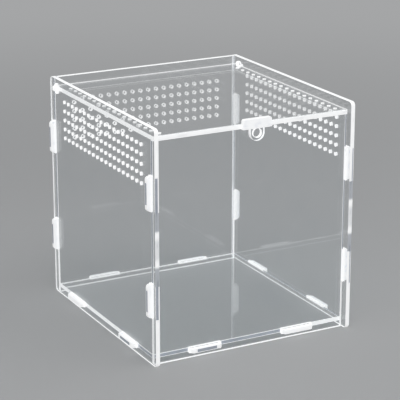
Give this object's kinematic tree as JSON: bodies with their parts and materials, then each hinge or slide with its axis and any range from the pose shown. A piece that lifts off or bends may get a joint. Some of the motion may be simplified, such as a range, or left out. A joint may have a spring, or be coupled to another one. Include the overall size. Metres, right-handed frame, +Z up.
{
  "type": "acrylic terrarium",
  "caption": "Clear box of slotted acrylic sheets, with vent holes near the top and a lid that swings up on ears in the side panels.",
  "frame": {"origin": "on the table under the middle of the box, at the height of the panels' bottom edges", "axes": "+X to the viewer's right when facing the front panel, +Y from the front panel to the back panel, +Z up"},
  "size_m": [0.208, 0.22, 0.216],
  "materials": {
    "clear_acrylic": "clear cast acrylic, polished faces and laser-cut edges"
  },
  "bodies": {
    "box": {"left_side_panel": "clear_acrylic", "right_side_panel": "clear_acrylic", "front_panel": "clear_acrylic", "back_panel": "clear_acrylic", "floor_panel": "clear_acrylic"},
    "lid": {"lid_panel": "clear_acrylic", "lid_pull_plate": "clear_acrylic"}
  },
  "joints": [
    {"name": "lid_hinge", "type": "hinge", "parent": "box", "child": "lid", "pos_m": [0, 0.096, 0.2065], "axis": [-1, 0, 0], "range_deg": [0, 110]}
  ]
}
